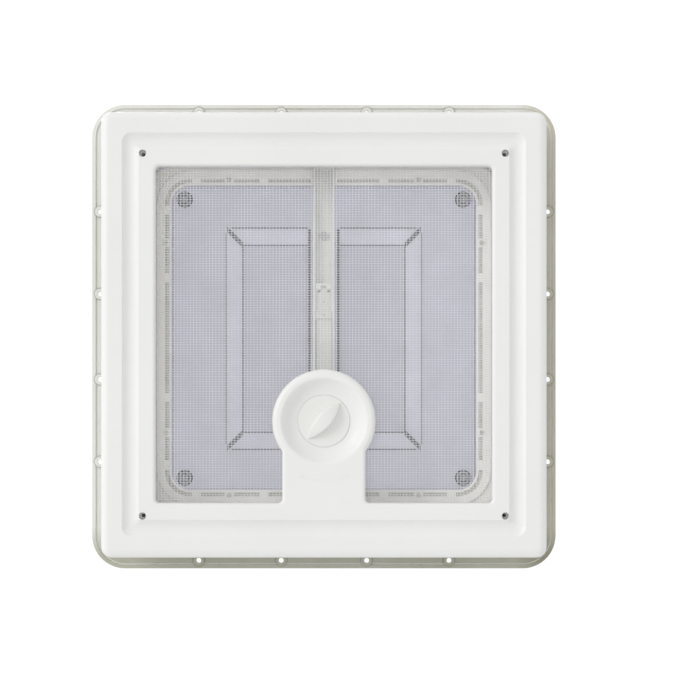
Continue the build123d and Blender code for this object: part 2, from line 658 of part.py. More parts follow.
def channel(z0, z1, half):
    """straight channel between the panels, its walls leaning out 3.2 mm over the panel height"""
    pts = [(-half, z0 - 5), (half, z0 - 5), (half, z0), (half + 3.2, z1), (half + 3.2, z1 + 20),
           (-half - 3.2, z1 + 20), (-half - 3.2, z1), (-half, z0)]
    return extrude(Plane.XZ * Polygon(*pts, align=None), amount=200, both=True)


under_panels = frustum(ROOF_LO - 0.001, ROOF_LO + PAN_H, 0.0) - channel(ROOF_LO, ROOF_LO + PAN_H, CHAN)
over_panels = frustum(ROOF_HI - 0.001, ROOF_HI + PAN_H, 1.2) - channel(ROOF_HI, ROOF_HI + PAN_H, CHAN - 2.0)

with BuildPart() as lid_dome:
    with BuildSketch(Plane.XY.offset(SKIRT_LO)) as ld:
        RectangleRounded(2 * LID, 2 * LID, 36.0)
    extrude(amount=BRIM_HI - SKIRT_LO)
    fillet(lid_dome.edges().filter_by(lambda e: abs(e.center().Z - BRIM_HI) < 0.01), 4.0)
    with BuildSketch(Plane.XY.offset(BRIM_HI - 0.5)) as ld_up:
        RectangleRounded(2 * 154.0, 2 * 154.0, 17.0)
    extrude(amount=ROOF_HI - BRIM_HI + 0.5, taper=8)
    fillet(
        lid_dome.edges().filter_by(lambda e: abs(e.center().Z - ROOF_HI) < 0.01), 5.0
    )
    fillet(
        lid_dome.edges().filter_by(
            lambda e: abs(e.center().Z - BRIM_HI) < 0.01 and max(abs(e.center().X), abs(e.center().Y)) < 160
        ),
        3.0,
    )
    add(over_panels)
    with BuildSketch(Plane.XY.offset(SKIRT_LO)) as ld_in:
        RectangleRounded(2 * (LID - SKIRT_T), 2 * (LID - SKIRT_T), 36.0 - SKIRT_T)
    extrude(amount=BRIM_LO - SKIRT_LO, mode=Mode.SUBTRACT)
    with BuildSketch(Plane.XY.offset(BRIM_LO - 0.5)) as ld_cav:
        RectangleRounded(2 * 149.3, 2 * 149.3, 12.5)
    extrude(amount=ROOF_LO - BRIM_LO + 0.5, mode=Mode.SUBTRACT)
    add(under_panels, mode=Mode.SUBTRACT)
    # moulded posts for the rail screws
    with BuildSketch(Plane.XY.offset(RAIL_HI)) as ld_post:
        with Locations(*[(0, y) for y in POSTS[1:]]):
            Circle(4.6)
    extrude(amount=ROOF_LO - RAIL_HI + 1.0)
    # bores: rail screws, lid frame screws, corner plugs, hinge leaf screws
    with BuildSketch(Plane.XY.offset(RAIL_HI - 0.5)) as ld_b1:
        with Locations(*[(0, y) for y in POSTS[1:]]):
            Circle(1.52)
    extrude(amount=8.5, mode=Mode.SUBTRACT)
    with BuildSketch(Plane.XY.offset(BRIM_LO - 0.5)) as ld_b2:
        for v in (-93.2, 93.2):
            with Locations((v, 154.9), (v, -154.9), (154.9, v), (-154.9, v)):
                Circle(1.22)
        with Locations((0, POSTS[0])):
            Circle(1.52)
    extrude(amount=2.5, mode=Mode.SUBTRACT)
    with BuildSketch(Plane.XY.offset(ROOF_LO - 1)) as ld_b3:
        with GridLocations(2 * 138.7, 2 * 138.7, 2, 2):
            Circle(4.0)
    extrude(amount=5, mode=Mode.SUBTRACT)
    with BuildSketch(Plane.XY.offset(BRIM_LO - 0.5)) as ld_b4:
        for sx in (-1, 1):
            with Locations((sx * HINGE_X - 9, 179.0), (sx * HINGE_X + 9, 179.0)):
                Circle(1.22)
    extrude(amount=2.3, mode=Mode.SUBTRACT)
out(lid_dome.part, "lid_dome")

# ---------------------------------------------------------------- lid frame ring and screws
with BuildPart() as lid_frame:
    with BuildSketch(Plane.XY.offset(RING_LO)) as lf:
        RectangleRounded(2 * RING_OUT, 2 * RING_OUT, 36.0)
        RectangleRounded(2 * RING_IN, 2 * RING_IN, 18.0, mode=Mode.SUBTRACT)
    extrude(amount=RING_HI - RING_LO)
    fillet(
        lid_frame.edges().filter_by(lambda e: abs(e.center().Z - RING_LO) < 0.01), 0.8
    )
    # thin outer step under the brim, inside the weather seal
    with BuildSketch(Plane.XY.offset(RING_HI - 1.8)) as lf_step:
        RectangleRounded(2 * 168.6, 2 * 168.6, 22.0)
        RectangleRounded(2 * (RING_OUT - 2.0), 2 * (RING_OUT - 2.0), 34.0, mode=Mode.SUBTRACT)
    extrude(amount=1.8)
    with BuildSketch(Plane.XY.offset(RING_LO)) as lf_g:
        RectangleRounded(2 * 156.1, 2 * 156.1, 24.6)
        RectangleRounded(2 * 152.0, 2 * 152.0, 20.5, mode=Mode.SUBTRACT)
        # solid bosses that interrupt the groove
        for v in (-125.3, -93.2, -59.0, 59.0, 93.2, 125.3):
            with Locations((v, 154.1), (v, -154.1)):
                Rectangle(9.0, 6.0, mode=Mode.SUBTRACT)
            with Locations((154.1, v), (-154.1, v)):
                Rectangle(6.0, 9.0, mode=Mode.SUBTRACT)
        with Locations((0, -154.1)):
            Rectangle(26.0, 6.0, mode=Mode.SUBTRACT)
    extrude(amount=1.8, mode=Mode.SUBTRACT)
    with BuildSketch(Plane.XY.offset(RING_LO - 0.5)) as lf_h:
        for v in (-93.2, 93.2):
            with Locations((v, 154.9), (v, -154.9), (154.9, v), (-154.9, v)):
                Circle(1.22)
        with Locations((0, POSTS[0])):
            Circle(1.52)
    extrude(amount=5, mode=Mode.SUBTRACT)
out(lid_frame.part, "lid_frame")

with BuildPart() as lid_frame_screws:
    for v in (-93.2, 93.2):
        for px, py in ((v, 154.9), (v, -154.9), (154.9, v), (-154.9, v)):
            with BuildSketch(Plane.XY.offset(RING_LO - 0.2)) as fsx_s:
                with Locations((px, py)):
                    Circle(1.2)
            extrude(amount=5.6)
            with BuildSketch(Plane.XY.offset(RING_LO - 1.4)) as fsx_h:
                with Locations((px, py)):
                    Circle(2.4)
            extrude(amount=1.4)
            with BuildSketch(Plane.XY.offset(RING_LO - 1.4)) as fsx_x:
                with Locations((px, py)):
                    Rectangle(2.8, 0.6)
                    Rectangle(0.6, 2.8)
            extrude(amount=0.8, mode=Mode.SUBTRACT)
out(lid_frame_screws.part, "lid_frame_screws")

# ---------------------------------------------------------------- lid rail and screws
with BuildPart() as lid_rail:
    with BuildSketch(Plane.XY.offset(RAIL_LO)) as lr:
        with Locations((0, (RAIL_Y0 + RAIL_Y1) / 2)):
            Rectangle(2 * RAIL_X, RAIL_Y1 - RAIL_Y0)
    extrude(amount=RAIL_HI - RAIL_LO)
    fillet(lid_rail.edges().filter_by(Axis.Y), 0.8)
    with BuildSketch(Plane.XY.offset(12.4)) as lr_in:
        with Locations((0, (RAIL_Y0 + 4.0 + RAIL_Y1 + 1) / 2)):
            Rectangle(2 * 9.4, RAIL_Y1 + 1 - RAIL_Y0 - 4.0)
    extrude(amount=5.0, mode=Mode.SUBTRACT)
    with BuildSketch(Plane.XY.offset(RAIL_LO - 1)) as lr_slot:
        with Locations((0, (RAIL_Y0 + 4.0 + RAIL_Y1 + 1) / 2)):
            Rectangle(2 * 8.2, RAIL_Y1 + 1 - RAIL_Y0 - 4.0)
    extrude(amount=3.0, mode=Mode.SUBTRACT)
    # screw holes, the one under the shoe's travel is counterbored flush
    with BuildSketch(Plane.XY.offset(17.0)) as lr_h:
        with Locations(*[(0, y) for y in POSTS]):
            Circle(1.52)
    extrude(amount=3, mode=Mode.SUBTRACT)
    with BuildSketch(Plane.XY.offset(17.0)) as lr_cb:
        with Locations((0, POSTS[2])):
            Circle(3.1)
    extrude(amount=1.4, mode=Mode.SUBTRACT)
out(lid_rail.part, "lid_rail")

with BuildPart() as rail_screws:
    for y, top, head_lo, head_h, head_r in (
        (POSTS[0], 24.8, 15.4, 2.0, 3.4),
        (POSTS[1], 26.6, 15.4, 2.0, 4.2),
        (POSTS[2], 26.6, 17.5, 0.9, 3.0),
    ):
        with BuildSketch(Plane.XY.offset(head_lo + 0.2)) as rs_s:
            with Locations((0, y)):
                Circle(1.5)
        extrude(amount=top - head_lo - 0.2)
        with BuildSketch(Plane.XY.offset(head_lo)) as rs_h:
            with Locations((0, y)):
                Circle(head_r)
        extrude(amount=head_h)
        with BuildSketch(Plane.XY.offset(head_lo)) as rs_x:
            with Locations((0, y)):
                Rectangle(3.6, 0.8)
                Rectangle(0.8, 3.6)
        extrude(amount=0.6, mode=Mode.SUBTRACT)
out(rail_screws.part, "rail_screws")

# ---------------------------------------------------------------- corner plugs
with BuildPart() as corner_plugs:
    for sx in (-1, 1):
        for sy in (-1, 1):
            with BuildSketch(Plane.XY.offset(40.4)) as cp_f:
                with Locations((sx * 138.7, sy * 138.7)):
                    Circle(8.0)
                    Circle(5.6, mode=Mode.SUBTRACT)
            extrude(amount=1.6)
            with BuildSketch(Plane.XY.offset(41.2)) as cp_d:
                with Locations((sx * 138.7, sy * 138.7)):
                    Circle(6.0)
            extrude(amount=0.8)
            with BuildSketch(Plane.XY.offset(39.8)) as cp_r:
                with Locations((sx * 138.7, sy * 138.7)):
                    Circle(4.2)
                    Circle(2.6, mode=Mode.SUBTRACT)
            extrude(amount=1.6)
            with BuildSketch(Plane.XY.offset(41.6)) as cp_s:
                with Locations((sx * 138.7, sy * 138.7)):
                    Circle(3.95)
            extrude(amount=3.2)
            with BuildSketch(Plane.XY.offset(ROOF_HI)) as cp_t:
                with Locations((sx * 138.7, sy * 138.7)):
                    Circle(5.4)
            extrude(amount=1.4)
out(corner_plugs.part, "corner_plugs")

# ---------------------------------------------------------------- hinge leaves on the lid
with BuildPart() as hinge_leaves:
    for sx in (-1, 1):
        x0 = sx * HINGE_X
        with BuildSketch(Plane.YZ.offset(x0 - 5.0)) as hl:
            with Locations((HINGE_Y, HINGE_Z)):
                Circle(BARREL_R)
            with Locations((HINGE_Y, (HINGE_Z + 23.0) / 2)):
                Rectangle(6.4, 23.0 - HINGE_Z)
        extrude(amount=10.0)
        with BuildSketch(Plane.XY.offset(21.2)) as hl_p:
            with Locations((x0, 182.0)):
                RectangleRounded(25.0, 13.0, 2.0)
        extrude(amount=1.8)
        with BuildSketch(Plane.YZ.offset(x0 - 6.0)) as hl_b:
            with Locations((HINGE_Y, HINGE_Z)):
                Circle(HINGE_PIN_R + 0.06)
        extrude(amount=12.0, mode=Mode.SUBTRACT)
        with BuildSketch(Plane.XY.offset(21.0)) as hl_h:
            with Locations((x0 - 9, 179.0), (x0 + 9, 179.0)):
                Circle(1.22)
        extrude(amount=3.0, mode=Mode.SUBTRACT)
out(hinge_leaves.part, "hinge_leaves")

with BuildPart() as hinge_screws:
    for sx in (-1, 1):
        for dx in (-9, 9):
            with BuildSketch(Plane.XY.offset(21.0)) as hs_s:
                with Locations((sx * HINGE_X + dx, 179.0)):
                    Circle(1.2)
            extrude(amount=3.6)
            with BuildSketch(Plane.XY.offset(19.9)) as hs_h:
                with Locations((sx * HINGE_X + dx, 179.0)):
                    Circle(2.2)
            extrude(amount=1.3)
out(hinge_screws.part, "hinge_screws")
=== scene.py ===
import math

import bmesh
import bpy
from mathutils import Matrix, Vector


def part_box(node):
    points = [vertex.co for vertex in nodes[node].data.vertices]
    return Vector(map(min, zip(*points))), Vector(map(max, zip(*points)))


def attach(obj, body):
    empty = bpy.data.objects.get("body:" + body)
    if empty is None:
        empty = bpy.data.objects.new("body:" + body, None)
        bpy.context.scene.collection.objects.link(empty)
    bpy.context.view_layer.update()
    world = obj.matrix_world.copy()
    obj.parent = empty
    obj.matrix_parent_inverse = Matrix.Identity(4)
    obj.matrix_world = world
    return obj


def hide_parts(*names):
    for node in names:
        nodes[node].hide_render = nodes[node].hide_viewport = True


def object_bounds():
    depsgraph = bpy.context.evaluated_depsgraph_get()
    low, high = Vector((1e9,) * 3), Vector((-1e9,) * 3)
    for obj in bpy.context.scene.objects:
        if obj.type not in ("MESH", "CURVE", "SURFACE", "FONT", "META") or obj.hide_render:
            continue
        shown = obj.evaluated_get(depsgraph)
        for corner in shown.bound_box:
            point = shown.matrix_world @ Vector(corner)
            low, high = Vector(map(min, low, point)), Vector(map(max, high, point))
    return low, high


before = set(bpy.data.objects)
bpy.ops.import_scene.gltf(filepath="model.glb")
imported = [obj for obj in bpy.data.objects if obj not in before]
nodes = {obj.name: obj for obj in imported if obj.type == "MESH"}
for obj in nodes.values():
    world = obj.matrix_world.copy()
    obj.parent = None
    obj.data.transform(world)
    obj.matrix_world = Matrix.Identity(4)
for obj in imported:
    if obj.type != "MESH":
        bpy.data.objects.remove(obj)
CAD_BOX = [list(v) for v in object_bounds()]
scene = bpy.context.scene
scene.view_settings.view_transform = "Standard"
scene.view_settings.look = "None"

MM = 0.001
PAN_X, PAN_Y, PLA_X, PLA_Y = 0.0977, 0.1104, 0.0810, 0.0935   # foot and top of the lid's raised panels


# ------------------------------------------------------------------ material helpers
class Net:
    """small helper round a material's node tree"""

    def __init__(self, name):
        self.mat = bpy.data.materials.new(name)
        self.mat.use_nodes = True
        self.t = self.mat.node_tree
        self.t.nodes.clear()
        self.out = self.n("ShaderNodeOutputMaterial")
        self.geo = self.n("ShaderNodeNewGeometry")
        self.pos = self.geo.outputs["Position"]
        self.obj = self.n("ShaderNodeTexCoord").outputs["Object"]

    def n(self, kind, **kw):
        node = self.t.nodes.new(kind)
        for k, v in kw.items():
            setattr(node, k, v)
        return node

    def link(self, a, b):
        self.t.links.new(a, b)

    def val(self, node, name, v):
        node.inputs[name].default_value = v

    def noise(self, scale, detail=4.0, rough=0.55, vec=None, stretch=None):
        src = vec or self.obj
        if stretch:
            m = self.n("ShaderNodeMapping")
            m.inputs["Scale"].default_value = stretch
            self.link(src, m.inputs["Vector"])
            src = m.outputs["Vector"]
        t = self.n("ShaderNodeTexNoise")
        self.val(t, "Scale", scale)
        self.val(t, "Detail", detail)
        self.val(t, "Roughness", rough)
        self.link(src, t.inputs["Vector"])
        return t.outputs["Fac"]

    def ramp(self, fac, lo, hi, a=0.0, b=1.0):
        m = self.n("ShaderNodeMapRange")
        self.val(m, "From Min", lo)
        self.val(m, "From Max", hi)
        self.val(m, "To Min", a)
        self.val(m, "To Max", b)
        m.clamp = True
        self.link(fac, m.inputs["Value"])
        return m.outputs["Result"]

    def mixc(self, fac, a, b, mode="MIX"):
        m = self.n("ShaderNodeMix", data_type="RGBA", blend_type=mode)
        if isinstance(fac, (int, float)):
            m.inputs[0].default_value = fac
        else:
            self.link(fac, m.inputs[0])
        for sock, v in ((m.inputs[6], a), (m.inputs[7], b)):
            if isinstance(v, (tuple, list)):
                sock.default_value = (*v[:3], 1.0)
            else:
                self.link(v, sock)
        return m.outputs[2]

    def math(self, op, a, b=None):
        m = self.n("ShaderNodeMath", operation=op)
        for i, v in enumerate((a, b)):
            if v is None:
                continue
            if isinstance(v, (int, float)):
                m.inputs[i].default_value = v
            else:
                self.link(v, m.inputs[i])
        return m.outputs[0]

    def edge(self, radius):
        """0 on flats, up to 1 along worn edges"""
        b = self.n("ShaderNodeBevel")
        b.samples = 4
        self.val(b, "Radius", radius)
        d = self.n("ShaderNodeVectorMath", operation="DOT_PRODUCT")
        self.link(b.outputs["Normal"], d.inputs[0])
        self.link(self.geo.outputs["Normal"], d.inputs[1])
        return self.ramp(d.outputs["Value"], 0.985, 0.80)

    def bump(self, height, strength, distance, normal=None):
        b = self.n("ShaderNodeBump")
        self.val(b, "Strength", strength)
        self.val(b, "Distance", distance)
        self.link(height, b.inputs["Height"])
        if normal is not None:
            self.link(normal, b.inputs["Normal"])
        return b.outputs["Normal"]

    def bsdf(self, color, rough, normal=None, metallic=0.0, spec=0.5, coat=0.0, coat_rough=0.2):
        p = self.n("ShaderNodeBsdfPrincipled")
        if isinstance(color, (tuple, list)):
            p.inputs["Base Color"].default_value = (*color[:3], 1.0)
        else:
            self.link(color, p.inputs["Base Color"])
        if isinstance(rough, (int, float)):
            p.inputs["Roughness"].default_value = rough
        else:
            self.link(rough, p.inputs["Roughness"])
        p.inputs["Metallic"].default_value = metallic
        p.inputs["Specular IOR Level"].default_value = spec
        if coat:
            p.inputs["Coat Weight"].default_value = coat
            p.inputs["Coat Roughness"].default_value = coat_rough
        if normal is not None:
            self.link(normal, p.inputs["Normal"])
        return p

    def done(self, shader):
        self.link(shader, self.out.inputs["Surface"])
        return self.mat


def lin(r, g, b):
    """sRGB 0-255 to linear"""
    def f(c):
        c /= 255.0
        return c / 12.92 if c <= 0.04045 else ((c + 0.055) / 1.055) ** 2.4
    return (f(r), f(g), f(b))


def plastic(name, base, rough=0.35, vary=0.02, grain=900.0, grain_h=0.00003, wear=0.0, spec=0.45, warm=None, coat=0.0, dirt=0.0, tint=None):
    """moulded plastic: slow colour drift, fine moulded grain, uneven gloss, scuffed edges, dust in low spots"""
    s = Net(name)
    big = s.noise(6.0, 3.0, 0.5)
    mid = s.noise(55.0, 5.0, 0.6)
    fine = s.noise(grain, 3.0, 0.6)
    dark = tuple(c * (1 - 2.2 * vary) for c in base)
    light = tuple(min(1.0, c * (1 + vary)) for c in base)
    if warm:
        dark = tuple(c * w for c, w in zip(dark, warm))
    col = s.mixc(s.ramp(big, 0.35, 0.65), dark, light)
    col = s.mixc(s.ramp(mid, 0.55, 0.75, 0.0, 0.35), col, dark)
    if dirt:
        low = s.ramp(s.noise(130.0, 6.0, 0.7), 0.52, 0.74, 0.0, dirt)
        col = s.mixc(low, col, tuple(c * 0.72 for c in base))
    if wear:
        e = s.edge(0.0012)
        broken = s.ramp(s.noise(240.0, 5.0, 0.7), 0.42, 0.62)
        col = s.mixc(s.math("MULTIPLY", s.math("MULTIPLY", e, broken), wear), col, tuple(min(1.0, c * 1.12 + 0.02) for c in base))
    if tint:
        col = tint(s, col)
    r = s.ramp(mid, 0.3, 0.7, rough - 0.06, rough + 0.07)
    # faint long scuffs
    scuff = s.noise(60.0, 2.0, 0.4, stretch=(1.0, 14.0, 1.0))
    r = s.math("ADD", r, s.ramp(scuff, 0.62, 0.72, 0.0, 0.08))
    nrm = s.bump(fine, 0.35, grain_h)
    nrm = s.bump(big, 0.10, 0.0006, nrm)
    return s.done(s.bsdf(col, r, nrm, spec=spec, coat=coat).outputs["BSDF"])


def metal(name, base, rough=0.32, brushed=(1.0, 40.0, 1.0), tint=None, stain=0.25):
    s = Net(name)
    brush = s.noise(260.0, 4.0, 0.6, stretch=brushed)
    blot = s.noise(45.0, 5.0, 0.65)
    col = s.mixc(s.ramp(blot, 0.4, 0.7, 0.0, stain), base, tint or tuple(c * 0.7 for c in base))
    e = s.edge(0.0006)
    col = s.mixc(s.math("MULTIPLY", e, 0.5), col, tuple(min(1, c * 1.25) for c in base))
    r = s.ramp(brush, 0.25, 0.75, rough - 0.08, rough + 0.14)
    nrm = s.bump(brush, 0.25, 0.00003)
    return s.done(s.bsdf(col, r, nrm, metallic=1.0).outputs["BSDF"])


def where(s):
    """object coordinates as x, y, z, |x|, |y|"""
    sep = s.n("ShaderNodeSeparateXYZ")
    s.link(s.obj, sep.inputs[0])
    x, y, z = sep.outputs["X"], sep.outputs["Y"], sep.outputs["Z"]
    return x, y, z, s.math("ABSOLUTE", x), s.math("ABSOLUTE", y)


def groove_painted_shade(s, col):
    """painted shade held in the frame's groove"""
    x, y, z, ax, ay = where(s)
    c = 0.1315
    dx = s.math("MAXIMUM", s.math("SUBTRACT", ax, c), 0.0)
    dy = s.math("MAXIMUM", s.math("SUBTRACT", ay, c), 0.0)
    d = s.math("SQRT", s.math("ADD", s.math("MULTIPLY", dx, dx), s.math("MULTIPLY", dy, dy)))
    line = s.ramp(s.math("ABSOLUTE", s.math("SUBTRACT", d, 0.02255)), 0.0019, 0.0022, 1.0, 0.0)
    deep = s.math("MULTIPLY", s.ramp(z, 0.0197, 0.0203), s.ramp(z, 0.0213, 0.0216, 1.0, 0.0))
    soft = s.ramp(s.noise(160.0, 5.0, 0.6), 0.3, 0.7, 0.30, 0.55)
    # painted shade: the groove floor is darkened, mottled by noise
    return s.mixc(s.math("MULTIPLY", s.math("MULTIPLY", line, deep), soft), col, lin(112, 110, 104))


def underside_painted_shadow(s, col):
    """painted shadow on the flange's underside, heaviest towards the hinge and the right, with painted shade rings
    round the roof screws
    """
    x, y, z, ax, ay = where(s)
    low = s.math("MULTIPLY", s.ramp(z, 0.0013, 0.0017, 1.0, 0.0), s.ramp(s.math("MAXIMUM", ax, ay), 0.196, 0.205))
    drift = s.ramp(s.noise(14.0, 4.0, 0.6), 0.3, 0.7, 0.82, 1.0)
    # painted shadow of the garnish on the right and hinge-side strips of the underside
    right = s.math("MULTIPLY", s.math("MULTIPLY", low, s.ramp(x, 0.185, 0.212)), drift)
    back = s.math("MULTIPLY", s.math("MULTIPLY", low, s.ramp(y, 0.185, 0.212)), drift)
    col = s.mixc(right, col, (0.655, 0.635, 0.53), "MULTIPLY")
    col = s.mixc(back, col, (0.545, 0.545, 0.465), "MULTIPLY")

    def crease(a, b):
        """distance from the nearest roof screw on the strips where a is the cross axis"""
        da = s.math("SUBTRACT", a, 0.2173)
        db = s.math("MINIMUM", s.math("ABSOLUTE", s.math("SUBTRACT", b, 0.0415)), s.math("ABSOLUTE", s.math("SUBTRACT", b, 0.1215)))
        return s.math("SQRT", s.math("ADD", s.math("MULTIPLY", da, da), s.math("MULTIPLY", db, db)))

    r = s.math("MINIMUM", crease(ax, ay), crease(ay, ax))
    # painted shade ring in the crease round each roof screw boss
    ring = s.ramp(s.math("ABSOLUTE", s.math("SUBTRACT", r, 0.0057)), 0.0004, 0.0008, 0.42, 0.0)
    return s.mixc(s.math("MULTIPLY", ring, s.ramp(z, 0.0013, 0.0017, 1.0, 0.0)), col, lin(120, 119, 108))


def cap_tint(s, col):
    """the far screw's cap is moulded in the rail's colour"""
    x, y, z, ax, ay = where(s)
    return s.mixc(s.ramp(y, -0.142, -0.138, 1.0, 0.0), col, lin(219, 219, 216))


def arm_tint(s, col):
    """small gate marks along the underside of the arm"""
    x, y, z, ax, ay = where(s)
    mark = None
    for yc, rad in ((-0.0490, 0.0009), (-0.0347, 0.0007), (-0.0217, 0.0010)):
        dy = s.math("SUBTRACT", y, yc)
        r = s.math("SQRT", s.math("ADD", s.math("MULTIPLY", x, x), s.math("MULTIPLY", dy, dy)))
        m = s.ramp(r, rad - 0.0002, rad + 0.0002, 1.0, 0.0)
        mark = m if mark is None else s.math("MAXIMUM", mark, m)
    mark = s.math("MULTIPLY", mark, s.ramp(z, 0.0131, 0.0135, 0.8, 0.0))
    return s.mixc(mark, col, lin(96, 95, 92))


def smoke(name):
    """smoke-tinted translucent moulding: glossy outside, milky depth, sky light passes through; painted shade lines
    along the panel edges, channel walls and corner mitres, painted light on the bevels and painted shade on the inner
    panels
    """
    s = Net(name)
    big = s.noise(5.0, 3.0, 0.5)
    fine = s.noise(420.0, 3.0, 0.6)
    mid = s.noise(70.0, 5.0, 0.6)
    body = s.mixc(s.ramp(big, 0.35, 0.65), lin(193, 193, 204), lin(197, 197, 208))
    dust = s.ramp(s.noise(150.0, 6.0, 0.75), 0.58, 0.8, 0.0, 0.12)
    body = s.mixc(dust, body, lin(208, 207, 206))
    # where on the lid: panel coordinates
    sep = s.n("ShaderNodeSeparateXYZ")
    s.link(s.obj, sep.inputs[0])
    ax = s.math("ABSOLUTE", sep.outputs["X"])
    ay = s.math("ABSOLUTE", sep.outputs["Y"])
    z = sep.outputs["Z"]
    deck = s.ramp(z, 0.0405, 0.0412)                      # only the dome's deck, not brim or skirt

    def near(v, c, w, soft=0.0004):
        return s.ramp(s.math("ABSOLUTE", s.math("SUBTRACT", v, c)), w - soft, w + soft, 1.0, 0.0)

    def below(v, c, soft=0.0005):
        return s.ramp(v, c - soft, c + soft, 1.0, 0.0)

    def both(*fs):
        r = fs[0]
        for g in fs[1:]:
            r = s.math("MULTIPLY", r, g)
        return r

    # painted shade lines where the panels' feet, tops, channel walls and corner mitres shade
    foot_x = both(near(ax, PAN_X, 0.00055), below(ay, PAN_Y - 0.005))
    foot_y = both(near(ay, PAN_Y, 0.00055), below(ax, PAN_X - 0.005), s.ramp(ax, 0.0150, 0.0158))
    top_x = both(near(ax, PLA_X, 0.00055), below(ay, PLA_Y))
    top_y = both(near(ay, PLA_Y, 0.00055), below(ax, PLA_X), s.ramp(ax, 0.0150, 0.0158))
    wall = both(s.ramp(ax, 0.0130, 0.0135), s.ramp(ax, 0.0158, 0.0164, 1.0, 0.0), below(ay, PAN_Y - 0.001))
    diag = s.math("SUBTRACT", s.math("SUBTRACT", ax, PAN_X), s.math("SUBTRACT", ay, PAN_Y))
    band = both(near(diag, 0.0, 0.0030, 0.0005), s.ramp(ax, PLA_X - 0.0004, PLA_X + 0.0004), below(ax, PAN_X - 0.0012))
    lines = foot_x
    for g in (foot_y, top_x, top_y, wall, band):
        lines = s.math("MAXIMUM", lines, g)
    lines = both(lines, deck)
    broken = s.ramp(s.noise(500.0, 3.0, 0.6), 0.35, 0.6, 0.72, 1.0)
    lines = both(lines, broken)
    # painted light: the panel bevels are lightened
    bevel = s.math("MULTIPLY", s.math("MAXIMUM",
                   both(s.ramp(ax, PLA_X, PLA_X + 0.0005), below(ax, PAN_X), below(ay, PAN_Y)),
                   both(s.ramp(ay, PLA_Y, PLA_Y + 0.0005), below(ay, PAN_Y), below(ax, PAN_X), s.ramp(ax, 0.0155, 0.0165))), deck)
    body = s.mixc(s.math("MULTIPLY", bevel, 0.6), body, lin(226, 226, 235))
    # painted shade: the inner panels are darkened
    inner = both(below(ax, PLA_X), below(ay, PLA_Y), s.ramp(ax, 0.0160, 0.0166), deck)
    body = s.mixc(s.math("MULTIPLY", inner, 0.5), body, lin(180, 180, 190))
    # the painted shade lines are laid over the surface colour
    body = s.mixc(s.math("MULTIPLY", lines, 0.85), body, lin(70, 70, 78))
    e = s.edge(0.0016)
    body = s.mixc(s.math("MULTIPLY", e, 0.2), body, lin(222, 222, 232))
    r = s.ramp(mid, 0.3, 0.7, 0.20, 0.32)
    nrm = s.bump(fine, 0.12, 0.00003)
    nrm = s.bump(big, 0.06, 0.0008, nrm)
    p = s.bsdf(body, r, nrm, spec=0.55, coat=0.3, coat_rough=0.12)
    tr = s.n("ShaderNodeBsdfTranslucent")
    # the painted shade lines also darken the translucent colour
    s.link(s.mixc(s.math("MULTIPLY", lines, 0.8), s.mixc(0.60, body, lin(244, 244, 252)), lin(96, 96, 104)), tr.inputs["Color"])
    mix = s.n("ShaderNodeMixShader")
    mix.inputs[0].default_value = 0.68
    s.link(p.outputs["BSDF"], mix.inputs[1])
    s.link(tr.outputs["BSDF"], mix.inputs[2])
    return s.done(mix.outputs[0])


def plug_mat(name):
    """pale smoke plugs with painted shade in two rings at the steps of their raised annuli"""
    s = Net(name)
    sep = s.n("ShaderNodeSeparateXYZ")
    s.link(s.obj, sep.inputs[0])
    dx = s.math("SUBTRACT", s.math("ABSOLUTE", sep.outputs["X"]), 0.1387)
    dy = s.math("SUBTRACT", s.math("ABSOLUTE", sep.outputs["Y"]), 0.1387)
    r = s.math("SQRT", s.math("ADD", s.math("MULTIPLY", dx, dx), s.math("MULTIPLY", dy, dy)))

    def ring(c, w):
        return s.ramp(s.math("ABSOLUTE", s.math("SUBTRACT", r, c)), w - 0.0003, w + 0.0003, 1.0, 0.0)

    # painted shade rings at the plug's steps
    dark = s.math("MAXIMUM", ring(0.0074, 0.0008), s.math("MULTIPLY", ring(0.0040, 0.0006), 0.7))
    base = s.mixc(s.ramp(s.noise(200.0, 4.0, 0.6), 0.4, 0.7), lin(214, 214, 222), lin(200, 200, 209))
    col = s.mixc(s.math("MULTIPLY", dark, 0.9), base, lin(72, 72, 80))
    nrm = s.bump(s.noise(600.0), 0.2, 0.00003)
    p = s.bsdf(col, s.ramp(s.noise(90.0), 0.3, 0.7, 0.32, 0.48), nrm)
    tr = s.n("ShaderNodeBsdfTranslucent")
    s.link(col, tr.inputs["Color"])
    mix = s.n("ShaderNodeMixShader")
    mix.inputs[0].default_value = 0.4
    s.link(p.outputs["BSDF"], mix.inputs[1])
    s.link(tr.outputs["BSDF"], mix.inputs[2])
    return s.done(mix.outputs[0])


def rubber(name):
    s = Net(name)
    col = s.mixc(s.ramp(s.noise(90.0, 5.0, 0.6), 0.4, 0.7), lin(186, 184, 178), lin(198, 196, 190))
    nrm = s.bump(s.noise(700.0, 3.0, 0.6), 0.4, 0.00006)
    return s.done(s.bsdf(col, s.ramp(s.noise(60.0), 0.3, 0.7, 0.55, 0.75), nrm, spec=0.3).outputs["BSDF"])


